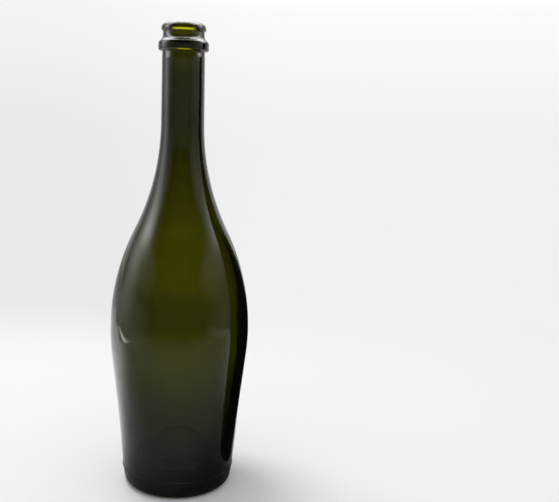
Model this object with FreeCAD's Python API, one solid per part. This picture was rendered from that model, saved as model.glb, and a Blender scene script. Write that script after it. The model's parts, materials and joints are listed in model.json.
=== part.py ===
import FreeCAD, Part
import math
import os
from collections import namedtuple

os.makedirs("parts", exist_ok=True)

# A sparkling-wine bottle, standing on z = 0 with its axis on Z. It is one moulding of glass, given here in
# the zones that its makers name, which meet face to face. Every zone is turned about the axis from a half
# profile, whose points are a distance from the axis and a height. All sizes are millimetres.

# Lip and collar, from the lip's top down
bore_radius = 8.8
lip_inner_round = 1.2
bead_radius = 14.55
bead_top_round = 4.0
bead_land = 0.2
bead_under_round = 0.8
groove_radius = 13.5
groove_top_round = 0.9
groove_land = 1.9
groove_round = 5.0
collar_radius = 16.45
collar_top_round = 2.0
collar_land = 3.25
collar_under_round = 1.0
collar_root_round = 0.8
collar_root_length = 2.45
parting_step = 0.1

# Neck and shoulder
neck_length = 42.98
neck_top_radius = 13.95
neck_root_radius = 14.2
neck_wall = 6.4
throat_length = 14.0
shoulder_hollow_round = 161.0

# Body
belly_radius = 47.1
belly_height = 108.8
belly_round = 153.9
belly_wall = 4.5
foot_wall = 7.8
base_radius = 36.9

# Base and punt
heel_round = 6.0
heel_land = 9.5
bearing_width = 3.0
bearing_inner_round = 3.5
punt_height = 29.0
punt_tip_round = 21.0
punt_wall = 6.5
floor_round = 4.0

# Glass, for the printed weight
glass_kg_per_litre = 2.5
mm3_per_ml = 1000.0

# Points, centres and directions that neighbouring zones share
Ogee = namedtuple("Ogee", "bulge joint hollow")
Shoulder = namedtuple("Shoulder", "root hollow joint bulge widest")
Flank = namedtuple("Flank", "foot along inward touch centre")
Heel = namedtuple("Heel", "centre top parting")
Punt = namedtuple("Punt", "ring cone_foot cone_top side tip")
Floor = namedtuple("Floor", "centre dome_end parting")


def at(radius, height):
    """A point of the half profile."""
    return FreeCAD.Vector(radius, 0, height)


def direction(angle):
    """The unit vector of the half profile at this angle, in radians, from straight out."""
    return at(math.cos(angle), math.sin(angle))


def run(*points):
    """Straight edges through the points."""
    return [Part.LineSegment(a, b).toShape() for a, b in zip(points, points[1:])]


def bend(start, centre, end):
    """The shorter arc about the centre from start to end."""
    out = start - centre
    middle = out + end - centre
    middle.normalize()
    return [Part.Arc(start, centre + middle * out.Length, end).toShape()]


def turn(edges):
    """The solid that a closed half profile makes about the bottle's axis."""
    profile = Part.Face(Part.Wire(edges))
    return profile.revolve(FreeCAD.Vector(0, 0, 0), FreeCAD.Vector(0, 0, 1), 360)


def crossing(point, along, other_point, other_along):
    """Where two straight lines of the half profile meet."""
    between = other_point - point
    spread = along.x * other_along.z - along.z * other_along.x
    return point + along * ((between.x * other_along.z - between.z * other_along.x) / spread)


def ogee_rise(bulge_radius, bulge_round, hollow_radius, hollow_round):
    """Height between the widest point of a bulge and the narrowest point of the hollow it runs into."""
    step = bulge_radius - hollow_radius
    return math.sqrt(2 * (bulge_round + hollow_round) * step - step * step)


def ogee(bulge_radius, bulge_height, bulge_round, hollow_radius, hollow_height, hollow_round):
    """Centre of the bulge, the smooth joint, and centre of the hollow."""
    bulge = at(bulge_radius - bulge_round, bulge_height)
    hollow = at(hollow_radius + hollow_round, hollow_height)
    return Ogee(bulge, bulge + (hollow - bulge) * (bulge_round / (bulge_round + hollow_round)), hollow)


def shoulder_line(wall_at_belly, wall_at_neck):
    """The shoulder's curve, this far in from the outside."""
    widest = at(belly_radius - wall_at_belly, belly_height)
    bulge_round = belly_round - wall_at_belly
    narrowest = neck_root_radius - wall_at_neck
    hollow_round = shoulder_hollow_round + wall_at_neck
    root = at(narrowest, belly_height + ogee_rise(widest.x, bulge_round, narrowest, hollow_round))
    curve = ogee(widest.x, widest.z, bulge_round, root.x, root.z, hollow_round)
    return Shoulder(root, curve.hollow, curve.joint, curve.bulge, widest)


def flank_line(wall_at_belly, wall_at_foot):
    """The straight flank, this far in from the outside, which touches the belly's arc."""
    centre, arc = at(belly_radius - belly_round, belly_height), belly_round - wall_at_belly
    foot = at(base_radius - wall_at_foot, 0)
    to_foot = foot - centre
    touch = centre + direction(math.atan2(to_foot.z, to_foot.x) + math.acos(arc / to_foot.Length)) * arc
    along = touch - foot
    along.normalize()
    return Flank(foot, along, at(-along.z, along.x), touch, centre)


def heel_corner():
    """The heel's round, its end on the flank, and the lower parting line a little above that end."""
    flank = flank_line(0, 0)
    centre = crossing(flank.foot + flank.inward * heel_round, flank.along, at(0, heel_round), direction(0))
    top = centre - flank.inward * heel_round
    return Heel(centre, top, top + flank.along * heel_land)


def punt_cone():
    """Underside of the punt: a cone that touches the round of its ring and the round of its tip."""
    ring = at(heel_corner().centre.x - bearing_width, bearing_inner_round)
    tip = at(0, punt_height - punt_tip_round)
    between = tip - ring
    swing = math.asin((bearing_inner_round + punt_tip_round) / between.Length)
    side = direction(math.atan2(between.z, between.x) - swing + math.pi / 2)
    return Punt(ring, ring + side * bearing_inner_round, tip - side * punt_tip_round, side, tip)


def floor_corner():
    """Round where the dome inside the punt runs up into the wall: it touches both."""
    flank, tip = flank_line(belly_wall, foot_wall), punt_cone().tip
    dome = punt_tip_round + punt_wall
    from_tip = flank.foot + flank.inward * floor_round - tip
    below = from_tip.dot(flank.along)
    rise = math.sqrt(below ** 2 - from_tip.dot(from_tip) + (dome + floor_round) ** 2) - below
    centre = tip + from_tip + flank.along * rise
    dome_end = tip + (centre - tip) * (dome / (dome + floor_round))
    return Floor(centre, dome_end, centre - flank.inward * floor_round)


def upper_parting_height():
    """Height of the line where the upper mould meets the body moulds, at the top of the neck."""
    return shoulder_line(0, 0).root.z + neck_length


def make_lip_and_collar():
    """Crown bead, groove and collar ring round the bore, built up from the upper parting line."""
    parting = upper_parting_height()
    root_radius = neck_top_radius - parting_step
    shelf = parting + collar_root_length
    root = at(root_radius + collar_root_round, shelf - collar_root_round)
    collar_foot = at(collar_radius - collar_under_round, shelf + collar_under_round)
    collar_height = collar_foot.z + collar_land
    groove_foot = collar_height + ogee_rise(collar_radius, collar_top_round, groove_radius, groove_round)
    flare = ogee(collar_radius, collar_height, collar_top_round, groove_radius, groove_foot, groove_round)
    groove_head = groove_foot + groove_land
    bead_foot = groove_head + ogee_rise(bead_radius, bead_under_round, groove_radius, groove_top_round)
    under = ogee(bead_radius, bead_foot, bead_under_round, groove_radius, groove_head, groove_top_round)
    bead_top = at(bead_radius - bead_top_round, bead_foot + bead_land)
    top = bead_top.z + bead_top_round
    inner_lip = at(bore_radius + lip_inner_round, top - lip_inner_round)

    edges = run(at(bore_radius, parting), at(root_radius, parting), at(root_radius, root.z))
    edges += bend(at(root_radius, root.z), root, at(root.x, shelf))
    edges += run(at(root.x, shelf), at(collar_foot.x, shelf))
    edges += bend(at(collar_foot.x, shelf), collar_foot, at(collar_radius, collar_foot.z))
    edges += run(at(collar_radius, collar_foot.z), at(collar_radius, collar_height))
    edges += bend(at(collar_radius, collar_height), flare.bulge, flare.joint)
    edges += bend(flare.joint, flare.hollow, at(groove_radius, groove_foot))
    edges += run(at(groove_radius, groove_foot), at(groove_radius, groove_head))
    edges += bend(at(groove_radius, groove_head), under.hollow, under.joint)
    edges += bend(under.joint, under.bulge, at(bead_radius, bead_foot))
    edges += run(at(bead_radius, bead_foot), at(bead_radius, bead_top.z))
    edges += bend(at(bead_radius, bead_top.z), bead_top, at(bead_top.x, top))
    edges += run(at(bead_top.x, top), at(inner_lip.x, top))
    edges += bend(at(inner_lip.x, top), inner_lip, at(bore_radius, inner_lip.z))
    edges += run(at(bore_radius, inner_lip.z), at(bore_radius, parting))
    return turn(edges)


def make_neck():
    """Slim neck between the upper parting line and the root of the shoulder, with a throat under the bore."""
    parting = upper_parting_height()
    root, root_inside = shoulder_line(0, 0).root, shoulder_line(belly_wall, neck_wall).root
    bore_end, throat_end = at(bore_radius, parting), at(root_inside.x, parting - throat_length)
    return turn(run(bore_end, at(neck_top_radius, parting), root, root_inside, throat_end, bore_end))


def make_shoulder():
    """Long ogee from the neck's root to the widest line."""
    outside, inside = shoulder_line(0, 0), shoulder_line(belly_wall, neck_wall)
    edges = bend(outside.root, outside.hollow, outside.joint)
    edges += bend(outside.joint, outside.bulge, outside.widest)
    edges += run(outside.widest, inside.widest)
    edges += bend(inside.widest, inside.bulge, inside.joint)
    edges += bend(inside.joint, inside.hollow, inside.root)
    return turn(edges + run(inside.root, outside.root))


def make_body():
    """Tapering lower body from the widest line down to the lower parting line."""
    outside, inside = flank_line(0, 0), flank_line(belly_wall, foot_wall)
    widest, widest_inside = at(belly_radius, belly_height), at(belly_radius - belly_wall, belly_height)
    edges = bend(widest, outside.centre, outside.touch)
    edges += run(outside.touch, heel_corner().parting, floor_corner().parting, inside.touch)
    edges += bend(inside.touch, inside.centre, widest_inside)
    return turn(edges + run(widest_inside, widest))


def make_punted_base():
    """Heel, bearing ring and the domed punt, thick in glass."""
    heel, punt, floor = heel_corner(), punt_cone(), floor_corner()
    tip, tip_inside = at(0, punt_height), at(0, punt_height + punt_wall)
    heel_foot, ring_foot = at(heel.centre.x, 0), at(punt.ring.x, 0)
    edges = run(heel.parting, heel.top)
    edges += bend(heel.top, heel.centre, heel_foot)
    edges += run(heel_foot, ring_foot)
    edges += bend(ring_foot, punt.ring, punt.cone_foot)
    edges += run(punt.cone_foot, punt.cone_top)
    edges += bend(punt.cone_top, punt.tip, tip)
    edges += run(tip, tip_inside)
    edges += bend(tip_inside, punt.tip, floor.dome_end)
    edges += bend(floor.dome_end, floor.centre, floor.parting)
    return turn(edges + run(floor.parting, heel.parting))


nodes = {
    "lip_and_collar": make_lip_and_collar(),
    "neck": make_neck(),
    "shoulder": make_shoulder(),
    "body": make_body(),
    "punted_base": make_punted_base(),
}

glass_ml = 0
for name, solid in nodes.items():
    solid.exportStep("parts/" + name + ".step")
    glass_ml += solid.Volume / mm3_per_ml
    print(name, "valid" if solid.isValid() else "NOT VALID", round(solid.Volume / mm3_per_ml, 1), "ml")
print("glass", round(glass_ml, 1), "ml,", round(glass_ml * glass_kg_per_litre), "g")
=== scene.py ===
# %% [markdown]
# # A sparkling-wine bottle of dark glass
#
# The real bottle is one moulding of dark olive glass, open at the mouth. Its solids are already
# measured and packed as a frame, so this lesson only gives them their looks: one unbroken glass shell,
# the marks that its moulds leave on it, the colour of the glass, and a plain studio to see it in.

# %% Load the frame
import json
import math
import bmesh
import bpy
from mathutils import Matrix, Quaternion, Vector


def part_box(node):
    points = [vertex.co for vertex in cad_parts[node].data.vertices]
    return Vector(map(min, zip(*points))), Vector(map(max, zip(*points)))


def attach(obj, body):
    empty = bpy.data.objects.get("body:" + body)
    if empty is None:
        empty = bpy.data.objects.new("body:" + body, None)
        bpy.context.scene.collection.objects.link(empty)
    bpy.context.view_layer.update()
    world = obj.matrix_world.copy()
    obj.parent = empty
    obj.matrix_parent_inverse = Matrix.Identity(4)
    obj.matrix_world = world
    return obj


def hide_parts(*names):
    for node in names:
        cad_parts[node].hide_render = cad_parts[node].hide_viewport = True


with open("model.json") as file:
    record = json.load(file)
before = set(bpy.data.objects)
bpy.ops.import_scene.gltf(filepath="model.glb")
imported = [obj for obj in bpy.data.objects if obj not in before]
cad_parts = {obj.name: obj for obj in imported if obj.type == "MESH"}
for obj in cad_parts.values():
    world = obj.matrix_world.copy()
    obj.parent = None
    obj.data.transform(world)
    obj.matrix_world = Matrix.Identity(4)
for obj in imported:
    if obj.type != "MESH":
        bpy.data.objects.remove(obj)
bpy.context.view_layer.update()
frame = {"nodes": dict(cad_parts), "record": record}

print("nodes:", ", ".join(sorted(frame["nodes"])))

# %% [markdown]
# ## Sizes that the frame already knows
#
# The frame's boxes give every main height and width, so none of these is typed here. The zones of the
# bottle meet at lines that a glassmaker knows: the lower parting line above the heel, the widest line
# of the belly, the root of the neck, and the upper parting line under the collar.

# %% Read heights and radii from the frame
mm = 0.001
lip_low, lip_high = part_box("lip_and_collar")
neck_low, neck_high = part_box("neck")
belly_low, belly_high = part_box("shoulder")
base_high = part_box("punted_base")[1]
mounts = {mount["name"]: mount for mount in frame["record"]["mounts"]}

top_height = lip_high.z
parting_height = lip_low.z
neck_root_radius = neck_high.x
neck_root_height = neck_low.z
belly_radius = belly_high.x
belly_height = belly_low.z
inner_tip_height = base_high.z
bore_radius = mounts["mouth_bore"]["dims"]["r_mm"] * mm
collar_radius = mounts["collar_ring"]["dims"]["r_mm"] * mm
print(f"height {top_height / mm:.1f} mm, widest {2 * belly_radius / mm:.1f} mm")
print(f"bore {2 * bore_radius / mm:.1f} mm, collar {2 * collar_radius / mm:.1f} mm")

# %% [markdown]
# ## Drawing the half profile
#
# A bottle's drawing is a half profile: arcs that run smoothly into each other and into straight
# stretches. It could be traced with a Bezier curve, but then every round would be a guess. Here each
# stretch is a true arc or line, and points are put along it as close as its bend needs. A point is a
# distance from the axis and a height.

# %% Lines and arcs of the profile
longest_step = 3.4 * mm
widest_turn = math.radians(11)
least_points = 3


def at(radius, height):
    """A point of the half profile."""
    return Vector((radius, height))


def direction(angle):
    """The unit vector at this angle, in radians, from straight out."""
    return at(math.cos(angle), math.sin(angle))


def line(start, end):
    """Points from start up to, and not including, end."""
    count = max(1, math.ceil((end - start).length / longest_step))
    return [start.lerp(end, i / count) for i in range(count)]


def arc(start, centre, end):
    """Points on the shorter arc about the centre, from start up to, and not including, end."""
    out, last = start - centre, end - centre
    first_angle = math.atan2(out.y, out.x)
    turn = math.remainder(math.atan2(last.y, last.x) - first_angle, 2 * math.pi)
    by_turn, by_length = abs(turn) / widest_turn, abs(turn) * out.length / longest_step
    count = max(least_points, math.ceil(by_turn), math.ceil(by_length))
    return [centre + direction(first_angle + turn * i / count) * out.length for i in range(count)]


# %% Crossings and ogees of the profile
def crossing(point, along, other_point, other_along):
    """Where two straight lines of the profile meet."""
    between = other_point - point
    return point + along * (between.cross(other_along) / along.cross(other_along))


def ogee(bulge_radius, bulge_height, bulge_round, hollow_radius, hollow_height, hollow_round):
    """Centre of a bulge, the smooth joint, and centre of the hollow that it runs into."""
    bulge = at(bulge_radius - bulge_round, bulge_height)
    hollow = at(hollow_radius + hollow_round, hollow_height)
    return bulge, bulge.lerp(hollow, bulge_round / (bulge_round + hollow_round)), hollow


def ogee_rise(bulge_radius, bulge_round, hollow_radius, hollow_round):
    """Height between the widest point of a bulge and the narrowest point of its hollow."""
    step = bulge_radius - hollow_radius
    return math.sqrt(2 * (bulge_round + hollow_round) * step - step * step)


# %% [markdown]
# ## Heel and punt
#
# The bottle stands on a narrow ring. Inside the ring the base is pushed up into a punt, a wide dome on
# a short steep cone, and outside it the heel rounds into the flank, a straight line that touches the
# arc of the belly. The cone is the line that touches both the round of the ring and the dome, so it
# never leaves a corner.

# %% The flank and the heel
belly_round = 153.9 * mm
base_radius = 36.9 * mm
heel_round = 6.0 * mm
belly_centre = at(belly_radius - belly_round, belly_height)


def flank_line(wall_at_belly, wall_at_foot):
    """Foot, direction and upper end of the straight flank, this far in from the outside."""
    arc_radius = belly_round - wall_at_belly
    foot = at(base_radius - wall_at_foot, 0)
    to_foot = foot - belly_centre
    angle = math.atan2(to_foot.y, to_foot.x) + math.acos(arc_radius / to_foot.length)
    touch = belly_centre + direction(angle) * arc_radius
    return foot, (touch - foot).normalized(), touch


flank_foot, flank_along, flank_touch = flank_line(0, 0)
flank_inward = at(-flank_along.y, flank_along.x)
level = at(1, 0)
heel_centre = crossing(flank_foot + flank_inward * heel_round, flank_along, at(0, heel_round), level)
heel_top = heel_centre - flank_inward * heel_round
print(f"the flank meets the heel {heel_top.y / mm:.1f} mm up")

# %% The outside of the base, from the tip of the punt to the heel
bearing_width = 3.0 * mm
bearing_inner_round = 3.5 * mm
punt_wall = 6.5 * mm
punt_tip_round = 21.0 * mm

ring_centre = at(heel_centre.x - bearing_width, bearing_inner_round)
tip_centre = at(0, inner_tip_height - punt_wall - punt_tip_round)
between = tip_centre - ring_centre
swing = math.asin((bearing_inner_round + punt_tip_round) / between.length)
cone_side = direction(math.atan2(between.y, between.x) - swing + math.pi / 2)
cone_foot = ring_centre + cone_side * bearing_inner_round
cone_top = tip_centre - cone_side * punt_tip_round

outside = arc(tip_centre + at(0, punt_tip_round), tip_centre, cone_top)
outside += line(cone_top, cone_foot)
outside += arc(cone_foot, ring_centre, at(ring_centre.x, 0))
outside += line(at(ring_centre.x, 0), at(heel_centre.x, 0))
outside += arc(at(heel_centre.x, 0), heel_centre, heel_top)
punt_height = tip_centre.y + punt_tip_round
print(f"the punt rises {punt_height / mm:.1f} mm, on a ring {2 * heel_centre.x / mm:.1f} mm across")

# %% [markdown]
# ## Flank, shoulder and neck
#
# Above the flank the belly and the shoulder are one long ogee: a bulging arc that passes smoothly into
# a hollow one, which ends upright at the root of the neck. The moulds that press the body and the lip
# part where the neck ends, and the lip's mould leaves a step there as thin as paper.

# %% The outside from the heel to the upper parting line
shoulder_hollow_round = 161.0 * mm
neck_top_radius = 13.95 * mm
parting_step = 0.1 * mm
parting_round = 0.15 * mm

bulge, joint, hollow = ogee(belly_radius, belly_height, belly_round,
                            neck_root_radius, neck_root_height, shoulder_hollow_round)
widest = at(belly_radius, belly_height)
neck_root = at(neck_root_radius, neck_root_height)
parting = at(neck_top_radius, parting_height - parting_round)
seam_start = len(outside)
outside += line(heel_top, flank_touch)
outside += arc(flank_touch, bulge, widest)
outside += arc(widest, bulge, joint)
outside += arc(joint, hollow, neck_root)
outside += line(neck_root, parting)
seam_end = len(outside)
print(f"{seam_end - seam_start} points from heel to collar")

# %% [markdown]
# ## Collar, groove and lip
#
# The lip of a sparkling-wine bottle has a rounded bead on top, for a crown cap, then a groove, and
# below it a collar ring, which holds a stopper's cage. Each of these is a few small arcs, worked out
# from below upwards.

# %% Centres and ends of the lip's arcs
bead_radius = 14.55 * mm
bead_top_round = 4.0 * mm
bead_land = 0.2 * mm
bead_under_round = 0.8 * mm
groove_radius = 13.5 * mm
groove_top_round = 0.9 * mm
groove_land = 1.9 * mm
groove_round = 5.0 * mm
collar_top_round = 2.0 * mm
collar_land = 3.25 * mm
collar_under_round = 1.0 * mm
collar_root_round = 0.8 * mm
collar_root_length = 2.45 * mm
lip_inner_round = 1.2 * mm

root_radius = neck_top_radius - parting_step
shelf = parting_height + collar_root_length
root_centre = at(root_radius + collar_root_round, shelf - collar_root_round)
collar_foot = at(collar_radius - collar_under_round, shelf + collar_under_round)
collar_head = at(collar_radius, collar_foot.y + collar_land)
flare_rise = ogee_rise(collar_radius, collar_top_round, groove_radius, groove_round)
groove_foot = at(groove_radius, collar_head.y + flare_rise)
flare = ogee(collar_radius, collar_head.y, collar_top_round, groove_radius, groove_foot.y, groove_round)
groove_head = at(groove_radius, groove_foot.y + groove_land)
under_rise = ogee_rise(bead_radius, bead_under_round, groove_radius, groove_top_round)
bead_foot = at(bead_radius, groove_head.y + under_rise)
under = ogee(bead_radius, bead_foot.y, bead_under_round, groove_radius, groove_head.y, groove_top_round)
bead_head = at(bead_radius, bead_foot.y + bead_land)
bead_centre = at(bead_radius - bead_top_round, bead_head.y)
lip_centre = at(bore_radius + lip_inner_round, top_height - lip_inner_round)

# %% Draw the collar, the groove and the lip
outside += line(parting, at(root_radius, parting_height))
outside += line(at(root_radius, parting_height), at(root_radius, root_centre.y))
outside += arc(at(root_radius, root_centre.y), root_centre, at(root_centre.x, shelf))
outside += line(at(root_centre.x, shelf), at(collar_foot.x, shelf))
outside += arc(at(collar_foot.x, shelf), collar_foot, at(collar_radius, collar_foot.y))
outside += line(at(collar_radius, collar_foot.y), collar_head)
outside += arc(collar_head, flare[0], flare[1])
outside += arc(flare[1], flare[2], groove_foot)
outside += line(groove_foot, groove_head)
outside += arc(groove_head, under[2], under[1])
outside += arc(under[1], under[0], bead_foot)
outside += line(bead_foot, bead_head)
outside += arc(bead_head, bead_centre, at(bead_centre.x, top_height))
outside += line(at(bead_centre.x, top_height), at(lip_centre.x, top_height))
outside += arc(at(lip_centre.x, top_height), lip_centre, at(bore_radius, lip_centre.y))
print(f"bead {2 * bead_radius / mm:.1f} mm across, {len(outside)} points outside")

# %% [markdown]
# ## The inside
#
# The glass is thick, so its inside is seen as well, through the mouth and through the wall. Blown glass
# is thinnest at the belly, where it stretched most, and thick in the neck and towards the foot, which
# is why those look darker. At the floor one small round touches both the wall and the dome over the
# punt. The profile ends on the axis, above the tip of the punt, so that the shell it turns into is
# closed.

# %% The inside of neck and shoulder
neck_wall = 6.4 * mm
belly_wall = 4.5 * mm
throat_length = 14.0 * mm
bore_end = at(bore_radius, parting_height)
inner_root_radius = neck_root_radius - neck_wall
inner_belly_round = belly_round - belly_wall
inner_hollow_round = shoulder_hollow_round + neck_wall
inner_widest = at(belly_radius - belly_wall, belly_height)
inner_rise = ogee_rise(inner_widest.x, inner_belly_round, inner_root_radius, inner_hollow_round)
inner_root = at(inner_root_radius, belly_height + inner_rise)
inner_bulge, inner_joint, inner_hollow = ogee(inner_widest.x, belly_height, inner_belly_round,
                                              inner_root.x, inner_root.y, inner_hollow_round)
throat_end = at(inner_root_radius, parting_height - throat_length)
print(f"walls {neck_wall / mm:.1f} mm at the neck and {belly_wall / mm:.1f} mm at the belly")

# %% The inside of the foot
foot_wall = 7.8 * mm
floor_round = 4.0 * mm
inner_dome = punt_tip_round + punt_wall
inner_foot, inner_along, inner_touch = flank_line(belly_wall, foot_wall)
inner_inward = at(-inner_along.y, inner_along.x)
from_tip = inner_foot + inner_inward * floor_round - tip_centre
foot_below = from_tip.dot(inner_along)
floor_reach = (inner_dome + floor_round) ** 2 - from_tip.length_squared
floor_rise = math.sqrt(foot_below ** 2 + floor_reach) - foot_below
floor_centre = tip_centre + from_tip + inner_along * floor_rise
floor_wall = floor_centre - inner_inward * floor_round
dome_end = tip_centre + (floor_centre - tip_centre) * (inner_dome / (inner_dome + floor_round))
print(f"the floor's round leaves the wall {floor_wall.y / mm:.1f} mm up")

# %% Draw the inside, from the mouth down to the tip of the punt
inside = line(at(bore_radius, lip_centre.y), bore_end)
inside += line(bore_end, throat_end)
inside += line(throat_end, inner_root)
inside += arc(inner_root, inner_hollow, inner_joint)
inside += arc(inner_joint, inner_bulge, inner_widest)
inside += arc(inner_widest, inner_bulge, inner_touch)
inside += line(inner_touch, floor_wall)
inside += arc(floor_wall, floor_centre, dome_end)
inside += arc(dome_end, tip_centre, at(0, inner_tip_height))
inside.append(at(0, inner_tip_height))
print(f"{len(inside)} points inside")

# %% [markdown]
# ## The profile as a mesh
#
# A mesh of points and edges carries the profile into Geometry Nodes. Two numbers go with each point:
# whether it is on the inside, where blown glass is never quite even, and whether a mould seam runs over
# it.

# %% Make the profile mesh
profile_points = outside + inside
profile = bpy.data.meshes.new("profile")
profile_edges = [(i, i + 1) for i in range(len(profile_points) - 1)]
profile.from_pydata([(p.x, 0, p.y) for p in profile_points], profile_edges, [])
is_inside = profile.attributes.new("is_inside", "FLOAT", "POINT")
is_inside.data.foreach_set("value", [0.0] * len(outside) + [1.0] * len(inside))
has_seam = profile.attributes.new("has_seam", "FLOAT", "POINT")
has_seam.data.foreach_set("value", [float(seam_start < i < seam_end) for i in range(len(profile_points))])
bottle = bpy.data.objects.new("glass_shell", profile)
bpy.context.scene.collection.objects.link(bottle)
print(f"profile of {len(profile_points)} points")

# %% [markdown]
# ## Small helpers for node trees
#
# Every tree below is built in the same way: make a node, give it its options, and fill its inputs with
# either a plain value or another node's output. One helper does that, so that each line of a tree reads
# as one step.


# %% Node helpers
def put(tree, kind, inputs=None, **options):
    """A new node. Each input has a name or number, and takes a value or another node's output."""
    node = tree.nodes.new(kind)
    for option, choice in options.items():
        setattr(node, option, choice)
    for socket, source in (inputs or {}).items():
        if isinstance(source, bpy.types.NodeSocket):
            tree.links.new(source, node.inputs[socket])
        else:
            node.inputs[socket].default_value = source
    return node


def maths(tree, operation, *values):
    """The result of a Math node."""
    return put(tree, "ShaderNodeMath", dict(enumerate(values)), operation=operation).outputs[0]


# %% Helpers for Geometry Nodes
def new_tree(name, *sizes):
    """A Geometry Nodes tree that takes a mesh and these named sizes, each a socket type, name and value."""
    tree = bpy.data.node_groups.new(name, "GeometryNodeTree")
    tree.interface.new_socket("Mesh", in_out="INPUT", socket_type="NodeSocketGeometry")
    for kind, size_name, value in sizes:
        socket = tree.interface.new_socket(size_name, in_out="INPUT", socket_type=kind)
        if value is not None:
            socket.default_value = value
    tree.interface.new_socket("Mesh", in_out="OUTPUT", socket_type="NodeSocketGeometry")
    return tree, put(tree, "NodeGroupInput").outputs


def apply_tree(piece, tree, **values):
    """Runs the tree on the piece with these input values, and keeps the result as the piece's plain mesh."""
    modifier = piece.modifiers.new(tree.name, "NODES")
    modifier.node_group = tree
    for item in tree.interface.items_tree:
        name = item.name.replace(" ", "_").lower()
        if item.in_out == "INPUT" and name in values:
            modifier[item.identifier] = values[name]
    evaluated = piece.evaluated_get(bpy.context.evaluated_depsgraph_get())
    made = bpy.data.meshes.new_from_object(evaluated)
    piece.modifiers.remove(modifier)
    piece.data = made
    return made


# %% [markdown]
# ## The colour of the glass
#
# Bottle glass is clear glass coloured all through by iron and chromium, so it darkens with depth: the
# lip lets yellow light through, and the two walls of the belly leave only a deep olive. A tinted
# surface would be as dark at the lip as at the base. So the surface here is clear and the colour is an
# absorption inside it. The surface is nearly smooth, with the faint ripple of glass that cooled in an
# iron mould and a little dullness from hands.

# %% Make the glass
glass_ior = 1.52
absorption_per_metre = 1500.0
absorbed_colour = (0.775, 0.774, 0.2, 1.0)
ripple_size = 9.0 * mm
ripple_strength = 0.03
ripple_depth = 0.05 * mm
smear_size = 25.0 * mm
smear_start, smear_full = 0.45, 0.75
polished_roughness = 0.012
smeared_roughness = 0.045

glass = bpy.data.materials.new("dark_olive_glass")
glass.use_nodes = True
tree = glass.node_tree
tree.nodes.clear()
place = put(tree, "ShaderNodeTexCoord").outputs["Object"]
ripple = put(tree, "ShaderNodeTexNoise", {"Vector": place, "Scale": 1 / ripple_size, "Detail": 1.0})
bump = put(tree, "ShaderNodeBump", {"Strength": ripple_strength, "Distance": ripple_depth,
                                    "Height": ripple.outputs["Fac"]})
smear = put(tree, "ShaderNodeTexNoise", {"Vector": place, "Scale": 1 / smear_size, "Detail": 4.0})
dullness = put(tree, "ShaderNodeMapRange", {"Value": smear.outputs["Fac"], "From Min": smear_start,
                                            "From Max": smear_full, "To Min": polished_roughness,
                                            "To Max": smeared_roughness})
surface = put(tree, "ShaderNodeBsdfPrincipled", {"Base Color": (1, 1, 1, 1), "IOR": glass_ior,
                                                 "Roughness": dullness.outputs["Result"],
                                                 "Transmission Weight": 1.0,
                                                 "Normal": bump.outputs["Normal"]})
volume = put(tree, "ShaderNodeVolumeAbsorption", {"Color": absorbed_colour, "Density": absorption_per_metre})
put(tree, "ShaderNodeOutputMaterial", {"Surface": surface.outputs[0], "Volume": volume.outputs[0]})
print("absorbs per mm:", [round(absorption_per_metre * (1 - c) * mm, 3) for c in absorbed_colour[:3]])

# %% [markdown]
# ## Turning the profile into a shell
#
# A Screw modifier could turn the profile, but every turn would be alike. A bottle's two mould halves
# leave a seam on each side, so this tree lays a grid along the profile and round the axis, moves each
# point of it to its place, and raises a hair-thin ridge on the seams. The columns crowd together at the
# seams, so that the ridge is real geometry with few faces elsewhere.

# %% Lay the grid
tree, given = new_tree("turn_profile",
                       ("NodeSocketInt", "Columns", 280), ("NodeSocketFloat", "Crowding", 0.9),
                       ("NodeSocketFloat", "Seam Height", 0.08 * mm),
                       ("NodeSocketFloat", "Seam Width", 0.35 * mm),
                       ("NodeSocketFloat", "Ripple Depth", 0.15 * mm),
                       ("NodeSocketFloat", "Ripple Scale", 40.0),
                       ("NodeSocketFloat", "Weld", 0.0002 * mm), ("NodeSocketMaterial", "Glass", None))
rows = put(tree, "GeometryNodeAttributeDomainSize", {"Geometry": given["Mesh"]}).outputs["Point Count"]
columns = maths(tree, "ADD", given["Columns"], 1.0)
grid = put(tree, "GeometryNodeMeshGrid", {"Vertices X": columns, "Vertices Y": rows})
index = put(tree, "GeometryNodeInputIndex").outputs[0]
column = maths(tree, "FLOOR", maths(tree, "DIVIDE", maths(tree, "ADD", index, 0.5), rows))
row = maths(tree, "SUBTRACT", index, maths(tree, "MULTIPLY", column, rows))


def along_profile(value, data_type):
    """The profile's own value at this row of the grid."""
    sample = put(tree, "GeometryNodeSampleIndex", {"Geometry": given["Mesh"], "Value": value, "Index": row},
                 data_type=data_type)
    return sample.outputs[0]


def profile_number(name):
    """A number that the profile carries, at this row of the grid."""
    stored = put(tree, "GeometryNodeInputNamedAttribute", {"Name": name}, data_type="FLOAT")
    return along_profile(stored.outputs["Attribute"], "FLOAT")


# %% Find each point's angle, radius and height
turn = maths(tree, "MULTIPLY", maths(tree, "DIVIDE", column, given["Columns"]), 2 * math.pi)
pull = maths(tree, "MULTIPLY", maths(tree, "SINE", maths(tree, "MULTIPLY", turn, 2.0)), given["Crowding"])
angle = maths(tree, "SUBTRACT", turn, maths(tree, "DIVIDE", pull, 2.0))
point = put(tree, "ShaderNodeSeparateXYZ",
            {"Vector": along_profile(put(tree, "GeometryNodeInputPosition").outputs[0], "FLOAT_VECTOR")})
radius, height = point.outputs["X"], point.outputs["Z"]
round_x, round_y = maths(tree, "COSINE", angle), maths(tree, "SINE", angle)

# %% Raise the seams and make the inside uneven
from_seam = maths(tree, "DIVIDE", maths(tree, "MULTIPLY", round_y, radius), given["Seam Width"])
ridge = maths(tree, "EXPONENT", maths(tree, "MULTIPLY", maths(tree, "MULTIPLY", from_seam, from_seam), -1.0))
ridge_height = maths(tree, "MULTIPLY", ridge, given["Seam Height"])
seam = maths(tree, "MULTIPLY", ridge_height, profile_number("has_seam"))

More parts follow.
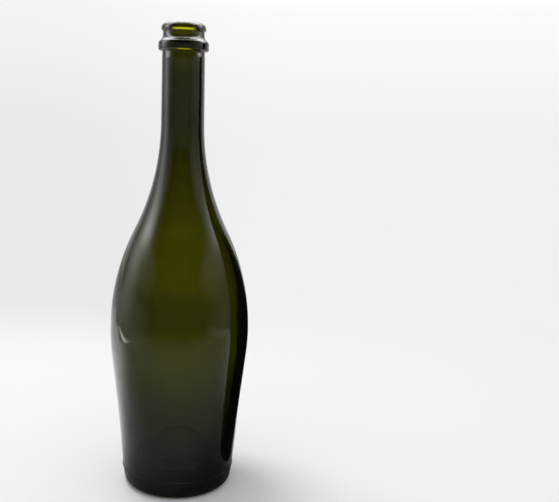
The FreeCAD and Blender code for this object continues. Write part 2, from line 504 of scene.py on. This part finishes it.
flat_place = put(tree, "ShaderNodeCombineXYZ", {"X": maths(tree, "MULTIPLY", round_x, radius),
                                                "Y": maths(tree, "MULTIPLY", round_y, radius), "Z": height})
noise = put(tree, "ShaderNodeTexNoise", {"Vector": flat_place.outputs[0], "Scale": given["Ripple Scale"],
                                         "Detail": 0.0})
uneven = maths(tree, "MULTIPLY", maths(tree, "SUBTRACT", noise.outputs["Fac"], 0.5), given["Ripple Depth"])
uneven = maths(tree, "MULTIPLY", uneven, profile_number("is_inside"))
off_axis = maths(tree, "MINIMUM", maths(tree, "DIVIDE", radius, bore_radius), 1.0)
pushed = maths(tree, "ADD", radius, maths(tree, "ADD", seam, maths(tree, "MULTIPLY", uneven, off_axis)))

# %% Move the grid into place and close it
new_place = put(tree, "ShaderNodeCombineXYZ", {"X": maths(tree, "MULTIPLY", round_x, pushed),
                                               "Y": maths(tree, "MULTIPLY", round_y, pushed), "Z": height})
moved = put(tree, "GeometryNodeSetPosition", {"Geometry": grid.outputs["Mesh"],
                                              "Position": new_place.outputs[0]})
welded = put(tree, "GeometryNodeMergeByDistance", {"Geometry": moved.outputs[0], "Distance": given["Weld"]})
smooth = put(tree, "GeometryNodeSetShadeSmooth", {"Geometry": welded.outputs[0]})
solid = put(tree, "GeometryNodeRealizeInstances", {"Geometry": smooth.outputs[0]})
dressed = put(tree, "GeometryNodeSetMaterial", {"Geometry": solid.outputs[0], "Material": given["Glass"]})
put(tree, "NodeGroupOutput", {"Mesh": dressed.outputs[0]})
shell = apply_tree(bottle, tree, glass=glass)
print(f"shell of {len(shell.vertices)} points and {len(shell.polygons)} faces")

# %% [markdown]
# ## The dots on the heel
#
# Bottle moulds have a ring of small hollows just above the heel, which leave a row of raised dots in
# the glass. They are evenly spaced, so one small ball is placed on every point of a circle, sunk into
# the flank, and joined to the shell as one surface, because two overlapping glass surfaces would bend
# the light twice.

# %% Raise the dots on the shell
dot_height = 12.3 * mm
dot_sink = 0.15 * mm
dot_ring_radius = crossing(flank_foot, flank_along, at(0, dot_height), level).x - dot_sink

tree, given = new_tree("heel_dots",
                       ("NodeSocketInt", "Dots", 60), ("NodeSocketFloat", "Dot Radius", 0.9 * mm),
                       ("NodeSocketFloat", "Ring Radius", dot_ring_radius),
                       ("NodeSocketVector", "Ring Place", (0, 0, dot_height)),
                       ("NodeSocketFloat", "Sharp Angle", math.radians(35)),
                       ("NodeSocketMaterial", "Glass", None))
ring = put(tree, "GeometryNodeMeshCircle", {"Vertices": given["Dots"], "Radius": given["Ring Radius"]})
raised = put(tree, "GeometryNodeTransform", {"Geometry": ring.outputs[0],
                                             "Translation": given["Ring Place"]})
ball = put(tree, "GeometryNodeMeshIcoSphere", {"Radius": given["Dot Radius"], "Subdivisions": 2})
balls = put(tree, "GeometryNodeInstanceOnPoints", {"Points": raised.outputs[0], "Instance": ball.outputs[0]})
dots = put(tree, "GeometryNodeRealizeInstances", {"Geometry": balls.outputs[0]})
joined = put(tree, "GeometryNodeMeshBoolean", operation="UNION", solver="MANIFOLD")
tree.links.new(given["Mesh"], joined.inputs[1])
tree.links.new(dots.outputs[0], joined.inputs[1])
smooth = put(tree, "GeometryNodeSetShadeSmooth", {"Geometry": joined.outputs[0]})
edge_angle = put(tree, "GeometryNodeInputMeshEdgeAngle").outputs[0]
is_sharp = maths(tree, "GREATER_THAN", edge_angle, given["Sharp Angle"])
creased = put(tree, "GeometryNodeSetShadeSmooth", {"Geometry": smooth.outputs[0], "Selection": is_sharp,
                                                   "Shade Smooth": False}, domain="EDGE")
dressed = put(tree, "GeometryNodeSetMaterial", {"Geometry": creased.outputs[0], "Material": given["Glass"]})
put(tree, "NodeGroupOutput", {"Mesh": dressed.outputs[0]})
shell = apply_tree(bottle, tree, glass=glass)
print(f"with its dots, {len(shell.vertices)} points and {len(shell.polygons)} faces")

# %% [markdown]
# ## Is the glass closed?
#
# Light bends rightly only in a closed surface that faces outwards. A count of open edges shows a gap,
# and the volume of the glass shows an inside-out surface, because it would come out negative.

# %% Test the shell
ml = 1e-6
test = bmesh.new()
test.from_mesh(shell)
open_edges = sum(not edge.is_manifold for edge in test.edges)
print(f"{open_edges} open edges, {test.calc_volume(signed=True) / ml:.1f} ml of glass")
test.free()

# %% [markdown]
# ## Join the shell to the frame
#
# The shell stands for all five solids, which stay in the frame for weight and contact.

# %% Ride on the frame
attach(bottle, "root")
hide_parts("lip_and_collar", "neck", "shoulder", "body", "punted_base")
print(bottle.name, "stands for", len(frame["nodes"]), "nodes")

# %% [markdown]
# ## Helpers for the studio
#
# Paper, panels and room need the same two things: a smooth climb of a value between two places, and a
# test of whether the glass has just mirrored a ray, because dark glass shows far more of a room than
# the picture does. The shades and glows below are the numbers of such a climb: the places where it
# starts and ends, and its values there.


# %% Studio helpers
def make_stage_piece(name, points, faces, material):
    """A piece of the studio, from its points and faces."""
    mesh = bpy.data.meshes.new(name)
    mesh.from_pydata(points, [], faces)
    mesh.materials.append(material)
    piece = bpy.data.objects.new(name, mesh)
    bpy.context.scene.collection.objects.link(piece)
    return piece


def make_sheet(name, corners, material):
    """A flat sheet of the studio with these corners."""
    return make_stage_piece(name, corners, [range(len(corners))], material)


def new_material(name):
    """An empty material, and its node tree."""
    material = bpy.data.materials.new(name)
    material.use_nodes = True
    material.node_tree.nodes.clear()
    return material, material.node_tree


# %% Light helpers
def reflected_only(tree):
    """1 for a ray that a surface has just mirrored, and 0 for every other ray."""
    path = put(tree, "ShaderNodeLightPath").outputs
    return maths(tree, "SUBTRACT", path["Is Glossy Ray"], path["Is Transmission Ray"])


def ramp(tree, value, start, end, low=0.0, high=1.0):
    """The value's smooth climb from low at start to high at end."""
    climb = put(tree, "ShaderNodeMapRange", {"Value": value, "From Min": start, "From Max": end,
                                             "To Min": low, "To Max": high}, interpolation_type="SMOOTHSTEP")
    return climb.outputs["Result"]


def total(tree, *values):
    """The sum of several values."""
    sum_so_far = values[0]
    for value in values[1:]:
        sum_so_far = maths(tree, "ADD", value, sum_so_far)
    return sum_so_far


# %% [markdown]
# ## Floor and backdrop
#
# The bottle stands on plain white paper, which runs up into a pale backdrop that is a little brighter
# at the right. One large floor does for both: far from the bottle it gives off the backdrop's light.
# The glass mirrors the paper too. Mirrored paper is bright beside and behind the bottle, fades towards
# the dark room in front, and is shaded close to the bottle and round the card. A soft shade on the
# paper behind the bottle is seen only through the glass, where it keeps the lower belly deep.

# %% Shade the paper that the glass mirrors
card_place = Vector((0.0935, 0.022, 0))
card_shade = (0.05, 0.12, 0.4, 1.0)
bottle_shade = (0.036, 0.1, 0.45, 1.0)
front_paper = 0.06
# Each change of the mirrored paper's light from front to back: where it begins and ends, and what it adds
fades = [(-0.62, -0.48, 0.16), (-0.48, -0.2, 0.2), (-0.1, 0.0, 0.25), (-0.04, 0.08, 0.95),
         (0.12, 0.3, -0.5), (0.35, 0.62, -0.5)]

paper, tree = new_material("white_paper")
place = put(tree, "ShaderNodeTexCoord").outputs["Object"]
axes = put(tree, "ShaderNodeSeparateXYZ", {0: place}).outputs
across, depth = axes["X"], axes["Y"]
away = put(tree, "ShaderNodeVectorMath", {0: place}, operation="LENGTH").outputs["Value"]


def distance_from(spot):
    """How far the paper is from this spot on it."""
    return put(tree, "ShaderNodeVectorMath", {0: place, 1: spot}, operation="DISTANCE").outputs["Value"]


along = total(tree, front_paper, *[ramp(tree, depth, begin, end, 0.0, gain) for begin, end, gain in fades])
shade_by_card = ramp(tree, distance_from(card_place), *card_shade)
shade_by_bottle = ramp(tree, away, *bottle_shade)
mirrored_gain = maths(tree, "MULTIPLY", along, maths(tree, "MULTIPLY", shade_by_card, shade_by_bottle))
extra = maths(tree, "MULTIPLY", maths(tree, "SUBTRACT", mirrored_gain, 1.0), reflected_only(tree))
print(f"mirrored paper changes {len(fades)} times from front to back")

# %% Shade the paper that is seen through the glass
near_paper = 0.94
shadow_place = Vector((-0.045, 0.45, 0))
shadow_edge, shadow_middle, shadow_depth = 0.24, 0.05, 0.36

path = put(tree, "ShaderNodeLightPath").outputs
shadow = ramp(tree, distance_from(shadow_place), shadow_edge, shadow_middle, 0.0, shadow_depth)
seen_shadow = maths(tree, "MULTIPLY", shadow, path["Is Transmission Ray"])
unshadowed = maths(tree, "SUBTRACT", 1.0, seen_shadow)
shaded_paper = maths(tree, "MULTIPLY", unshadowed, near_paper)
tone = maths(tree, "MULTIPLY", maths(tree, "ADD", extra, 1.0), shaded_paper)
paper_surface = put(tree, "ShaderNodeBsdfDiffuse", {"Color": tone})
print("paper reflects", near_paper)

# %% Run the paper up into the backdrop
floor_size = 12.0
sweep_behind = (0.2, 0.58)
sweep_around = (1.0, 2.2)
backdrop_turn = (-0.3, 0.05)
backdrop_left, backdrop_right = 0.81, 0.87

seen = maths(tree, "MAXIMUM", path["Is Camera Ray"], path["Is Transmission Ray"])
sweep_place = maths(tree, "MAXIMUM", ramp(tree, depth, *sweep_behind), ramp(tree, away, *sweep_around))
far = maths(tree, "MULTIPLY", sweep_place, seen)
sideways = maths(tree, "DIVIDE", across, away)
backdrop_light = ramp(tree, sideways, *backdrop_turn, backdrop_left, backdrop_right)
sweep = put(tree, "ShaderNodeEmission", {"Strength": maths(tree, "MULTIPLY", backdrop_light, unshadowed)})
mixed = put(tree, "ShaderNodeMixShader", {0: far, 1: paper_surface.outputs[0], 2: sweep.outputs[0]})
put(tree, "ShaderNodeOutputMaterial", {"Surface": mixed.outputs[0]})
half = floor_size / 2
floor_corners = [(-half, -half, 0), (half, -half, 0), (half, half, 0), (-half, half, 0)]
make_sheet("paper_floor", floor_corners, paper)
print("paper floor", floor_size, "m square")

# %% [markdown]
# ## Soft panels
#
# Dark glass is lit by what it mirrors. A soft panel stands at each side, brighter at the top than at
# the bottom, which draws the two long lights down the neck and shoulder. An even panel would draw them
# with hard edges, so here the light climbs with height and fades to both sides, with a weak spread
# beside it and a glow at the foot.

# %% Make a panel
panel_distance = 0.5
panel_front, panel_back = -0.6, 0.3
panel_height = 0.85
panel_fade = 0.15
spread_along = (-0.6, -0.1, 0.15, 0.5)
spread_climb = (0.15, 0.33, 0.35, 1.0)
spread_fall = (0.4, 0.55, 0.0, -0.8)
foot_fall = (0.2, 0.1)


def make_panel(name, side, centre, climbs, foot_glow):
    """A soft panel at this side, whose light climbs with height and fades to both sides of its centre."""
    material, tree = new_material(name)
    place = put(tree, "ShaderNodeTexCoord").outputs["Object"]
    axes = put(tree, "ShaderNodeSeparateXYZ", {0: place}).outputs
    depth, height = axes["Y"], axes["Z"]
    off = maths(tree, "DIVIDE", maths(tree, "SUBTRACT", depth, centre), panel_fade)
    fade = maths(tree, "EXPONENT", maths(tree, "MULTIPLY", maths(tree, "MULTIPLY", off, off), -1.0))
    light = total(tree, 0.0, *[ramp(tree, height, low, high, 0.0, gain) for low, high, gain in climbs])
    band = maths(tree, "ADD", ramp(tree, height, *spread_climb), ramp(tree, height, *spread_fall))
    spread = maths(tree, "MULTIPLY", ramp(tree, depth, *spread_along), band)
    low_light = maths(tree, "MULTIPLY", ramp(tree, depth, *foot_glow), ramp(tree, height, *foot_fall))
    strength = total(tree, low_light, spread, maths(tree, "MULTIPLY", fade, light))
    lamp = put(tree, "ShaderNodeEmission", {"Strength": strength})
    put(tree, "ShaderNodeOutputMaterial", {"Surface": lamp.outputs[0]})
    x = side * panel_distance
    corners = [(x, panel_front, 0), (x, panel_back, 0), (x, panel_back, panel_height),
               (x, panel_front, panel_height)]
    return make_sheet(name, corners, material)


# %% Set up both panels
left_centre, right_centre = 0.03, 0.15
# Each climb of a panel's light: the heights where it begins and ends, and what it adds
left_climbs = [(0.0, 0.36, 1.5), (0.32, 0.46, 3.0), (0.46, 0.85, 1.0)]
right_climbs = [(0.3, 0.45, 2.2), (0.45, 0.6, 3.0)]
left_foot_glow = (-0.65, 0.2, 0.08, 0.35)
right_foot_glow = (-0.4, -0.15, 0.0, 0.1)
stands = [make_panel("left_panel", -1, left_centre, left_climbs, left_foot_glow),
          make_panel("right_panel", 1, right_centre, right_climbs, right_foot_glow)]
print(f"{len(stands)} panels, {panel_height} m high")

# %% [markdown]
# ## Low boards
#
# Where the belly bulges most it mirrors the foot of the room, and there the mirrored paper ends in a
# level edge across the glass. A low board at each side and a dark board in front, all cut to shape,
# draw that edge. A bright strip along the left board draws the small hooked light at the left of the
# belly.

# %% Stand the boards
left_board_x, strip_x, right_board_x, front_board_y = -0.37, -0.368, 0.495, -0.3
left_board_glow = (-0.55, 0.0, 0.1, 0.55)
strip_glow = (-0.1, 0.06, 0.8, 4.0)
right_board_glow = (-0.5, -0.05, 0.2, 0.65)
front_board_glow = (-1.0, 1.0, 0.065, 0.065)
left_board_edge = [(-0.6, 0.0), (0.12, 0.0), (0.12, 0.05), (0.05, 0.034), (-0.6, 0.034)]
strip_edge = [(0.13, 0.056), (0.07, 0.032), (0.0, 0.018), (-0.1, 0.014), (-0.1, 0.004), (0.02, 0.004),
              (0.06, 0.019)]
right_board_edge = [(-0.45, 0.0), (0.1, 0.0), (0.1, 0.033), (-0.2, 0.036), (-0.36, 0.065), (-0.45, 0.085)]
front_board_edge = [(-0.25, 0.03), (-0.15, 0.056), (0.04, 0.052), (0.28, 0.04), (0.34, 0.09), (0.37, 0.215),
                    (-0.29, 0.215)]


def make_board(name, corners, glow):
    """A board with these corners, whose light climbs from front to back."""
    material, tree = new_material(name)
    place = put(tree, "ShaderNodeTexCoord").outputs["Object"]
    depth = put(tree, "ShaderNodeSeparateXYZ", {0: place}).outputs["Y"]
    lamp = put(tree, "ShaderNodeEmission", {"Strength": ramp(tree, depth, *glow)})
    put(tree, "ShaderNodeOutputMaterial", {"Surface": lamp.outputs[0]})
    return make_sheet(name, corners, material)


stands += [make_board("left_board", [(left_board_x, y, z) for y, z in left_board_edge], left_board_glow),
           make_board("bright_strip", [(strip_x, y, z) for y, z in strip_edge], strip_glow),
           make_board("right_board", [(right_board_x, y, z) for y, z in right_board_edge], right_board_glow),
           make_board("front_board", [(x, front_board_y, z) for x, z in front_board_edge], front_board_glow)]
print("boards:", ", ".join(stand.name for stand in stands[2:]))

# %% [markdown]
# ## A black card
#
# A black card close to the right side keeps that edge of the glass deep. A flat card would leave a
# straight dark line, so the card is rolled up and follows the bottle's own outline. It is mirrored in
# the glass and also seen through it. None of the panels, boards and card is in the picture itself.

# %% Roll the card and hide what stands round the bottle
card_black = (0.03, 0.03, 0.03, 1.0)
card_outline = [(0.037, 0.0), (0.0465, 0.109), (0.0355, 0.17), (0.0145, 0.249), (0.0145, 0.31)]
card_columns = 48


def make_roll(name, centre, outline, columns, material):
    """A sheet rolled up about an upright axis, with these radii and heights."""
    ring = [direction(2 * math.pi * step / columns) for step in range(columns)]
    points = [(centre.x + out * way.x, centre.y + out * way.y, up) for out, up in outline for way in ring]
    faces = []
    for first in range(0, columns * (len(outline) - 1), columns):
        for step in range(columns):
            after = (step + 1) % columns
            faces.append((first + step, first + after, first + columns + after, first + columns + step))
    return make_stage_piece(name, points, faces, material)


black, tree = new_material("black_card")
matt = put(tree, "ShaderNodeBsdfDiffuse", {"Color": card_black})
put(tree, "ShaderNodeOutputMaterial", {"Surface": matt.outputs[0]})
card = make_roll("black_card", card_place, card_outline, card_columns, black)
stands.append(card)
for stand in stands:
    stand.visible_camera = False
    stand.visible_diffuse = False
    stand.visible_transmission = stand is card
    stand.visible_volume_scatter = False
    stand.visible_shadow = False
print(f"{len(stands)} pieces stand round the bottle")

# %% [markdown]
# ## The room
#
# Light that passes through the bottle comes from the pale backdrop, and from high above it grows
# brighter, which is why the lip glows. Mirrored light is another matter: the room in front is dark, the
# backdrop glows behind, and a lamp hangs above. The world holds all of this by direction.

# %% Find the direction of each ray
world = bpy.data.worlds.new("plain_studio")
bpy.context.scene.world = world
world.use_nodes = True
tree = world.node_tree
tree.nodes.clear()
ray = put(tree, "ShaderNodeSeparateXYZ", {0: put(tree, "ShaderNodeTexCoord").outputs["Generated"]}).outputs
bearing = maths(tree, "ARCTAN2", ray["X"], maths(tree, "MULTIPLY", ray["Y"], -1.0))
aside = maths(tree, "ABSOLUTE", bearing)
rise = maths(tree, "ARCSINE", ray["Z"])


def climb(value, start, end, high):
    """The smooth climb of an angle's value from nothing at start to high at end, in degrees."""
    return ramp(tree, value, math.radians(start), math.radians(end), 0.0, high)


# %% The room that the glass mirrors
dark_room = 0.03
low_room = 0.17
back_glow = 0.55
high_glow = 6.0
ceiling_lamp = 1.4
overhead_lamp = 1.5

behind = climb(aside, 95, 150, back_glow)
above_sides = maths(tree, "MULTIPLY", climb(aside, 50, 95, 1.0), climb(rise, 18, 52, high_glow))
above = total(tree, climb(rise, 40, 75, ceiling_lamp), climb(rise, 70, 88, overhead_lamp))
mirrored = total(tree, dark_room, behind, above_sides, climb(rise, 14, 5, low_room), above)
print("the mirrored room is", dark_room, "in front and", back_glow + dark_room, "behind")

# %% The backdrop that shows through the glass
top_of_sweep = 0.09
upper_glow = 1.9
top_glow = 5.8

plain = ramp(tree, ray["X"], *backdrop_turn, backdrop_left, backdrop_right)
passing = total(tree, plain, climb(rise, -2, 10, top_of_sweep), climb(rise, 8, 24, upper_glow),
                climb(rise, 38, 55, top_glow))
print("the backdrop is", backdrop_left, "at the left and", backdrop_right, "at the right")

# %% Give each kind of ray its own room
white = (1.0, 1.0, 1.0, 1.0)
even_light = 0.67

path = put(tree, "ShaderNodeLightPath").outputs
seen = maths(tree, "MAXIMUM", path["Is Camera Ray"], path["Is Transmission Ray"])
ambient = put(tree, "ShaderNodeBackground", {"Color": white, "Strength": even_light})
mirror_room = put(tree, "ShaderNodeBackground", {"Color": white, "Strength": mirrored})
backdrop = put(tree, "ShaderNodeBackground", {"Color": white, "Strength": passing})
lit = put(tree, "ShaderNodeMixShader", {0: reflected_only(tree), 1: ambient.outputs[0],
                                        2: mirror_room.outputs[0]})
whole = put(tree, "ShaderNodeMixShader", {0: seen, 1: lit.outputs[0], 2: backdrop.outputs[0]})
put(tree, "ShaderNodeOutputWorld", {"Surface": whole.outputs[0]})
print("all other rays see an even light of", even_light)

# %% [markdown]
# ## A lamp for the shadow
#
# One broad soft lamp hangs high above the bottle, a little to its left and behind, and gives it the
# pale shadow that falls to its right. The glass neither mirrors it nor shows it, because the room
# already holds such a lamp.

# %% Hang the lamp
lamp_place = Vector((-0.45, 0.3, 1.7))
lamp_size = 0.6
lamp_watts = 11.0
lamp_data = bpy.data.lights.new("soft_lamp", "AREA")
lamp_data.size = lamp_size
lamp_data.energy = lamp_watts
lamp = bpy.data.objects.new("soft_lamp", lamp_data)
lamp.rotation_mode = "QUATERNION"
lamp.location = lamp_place
lamp.rotation_quaternion = (-lamp_place).to_track_quat("-Z", "Y")
lamp.visible_glossy = False
lamp.visible_transmission = False
bpy.context.scene.collection.objects.link(lamp)
print("lamp of", lamp_watts, "W")

# %% [markdown]
# ## Camera
#
# A normal lens half a metre away, a little below the lip's height, so that the lip is seen from just
# underneath and the base from above. The camera is turned a hair about its own axis, so that the bottle
# leans a little, and its frame is shifted sideways, so that the bottle stands left of the middle.

# %% Place the camera
camera_place = Vector((0.04664, -0.50227, 0.245))
aim = Vector((0.04664, 0.0, 0.16379))
camera_roll = math.radians(1.67)
sensor_width_mm = 36.0
focal_length_mm = 48.27
side_shift = 0.0537
lens = bpy.data.cameras.new("camera")
lens.sensor_width = sensor_width_mm
lens.lens = focal_length_mm
lens.shift_x = side_shift
camera = bpy.data.objects.new("camera", lens)
camera.rotation_mode = "QUATERNION"
camera.location = camera_place
facing = (aim - camera_place).to_track_quat("-Z", "Y")
camera.rotation_quaternion = facing @ Quaternion((0, 0, 1), camera_roll)
bpy.context.scene.collection.objects.link(camera)
bpy.context.scene.camera = camera
bpy.context.scene.view_settings.view_transform = "Standard"
print(f"camera {(aim - camera_place).length:.2f} m from its aim")
